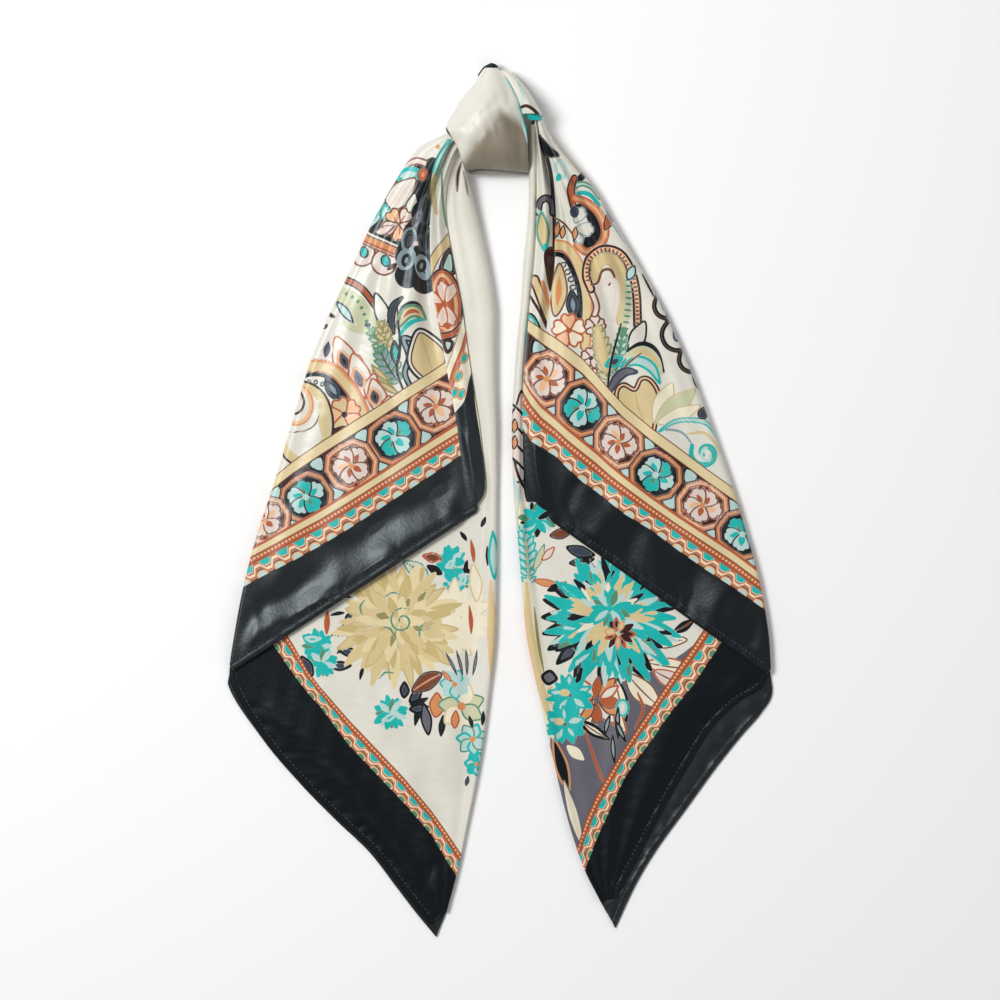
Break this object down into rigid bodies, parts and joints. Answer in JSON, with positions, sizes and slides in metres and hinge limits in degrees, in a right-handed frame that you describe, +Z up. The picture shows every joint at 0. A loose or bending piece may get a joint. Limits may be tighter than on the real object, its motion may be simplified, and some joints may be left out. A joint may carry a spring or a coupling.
{
  "type": "silk square scarf",
  "caption": "Printed silk satin square scarf, doubled on its diagonal, knotted at the middle and laid flat with its points downwards.",
  "frame": {"origin": "centre of the bounding box at the floor, under the middle of the scarf as it lies", "axes": "+X to the right of the scarf as it lies, +Y from its two points to its knot, +Z up from the floor"},
  "size_m": [0.396, 0.635, 0.0391],
  "materials": {
    "plain_silk": "ivory silk satin, soft sheen",
    "printed_silk": "silk satin with an ivory ground, paisley field and bordered stripes",
    "floral_silk": "silk satin with an ivory ground, large flowers and a narrow trim",
    "border_satin": "blue-black silk satin border with a machine-rolled hem",
    "hidden_silk": "silk satin inside the folds"
  },
  "bodies": {
    "root": {"left_under_layer": "border_satin", "left_fold_core": "hidden_silk", "left_upper_drape": "printed_silk", "left_upper_hem": "border_satin", "left_inner_roll": "plain_silk", "left_lower_drape": "floral_silk", "left_lower_hem": "border_satin", "right_under_layer": "border_satin", "right_under_hem": "border_satin", "right_fold_core": "hidden_silk", "right_upper_drape": "printed_silk", "right_upper_hem": "border_satin", "right_inner_roll": "plain_silk", "right_lower_drape": "floral_silk", "right_lower_hem": "border_satin", "knot_core": "hidden_silk", "knot_band": "plain_silk", "knot_side_fold": "plain_silk", "knot_tuck": "printed_silk", "knot_tip": "border_satin"}
  },
  "joints": []
}
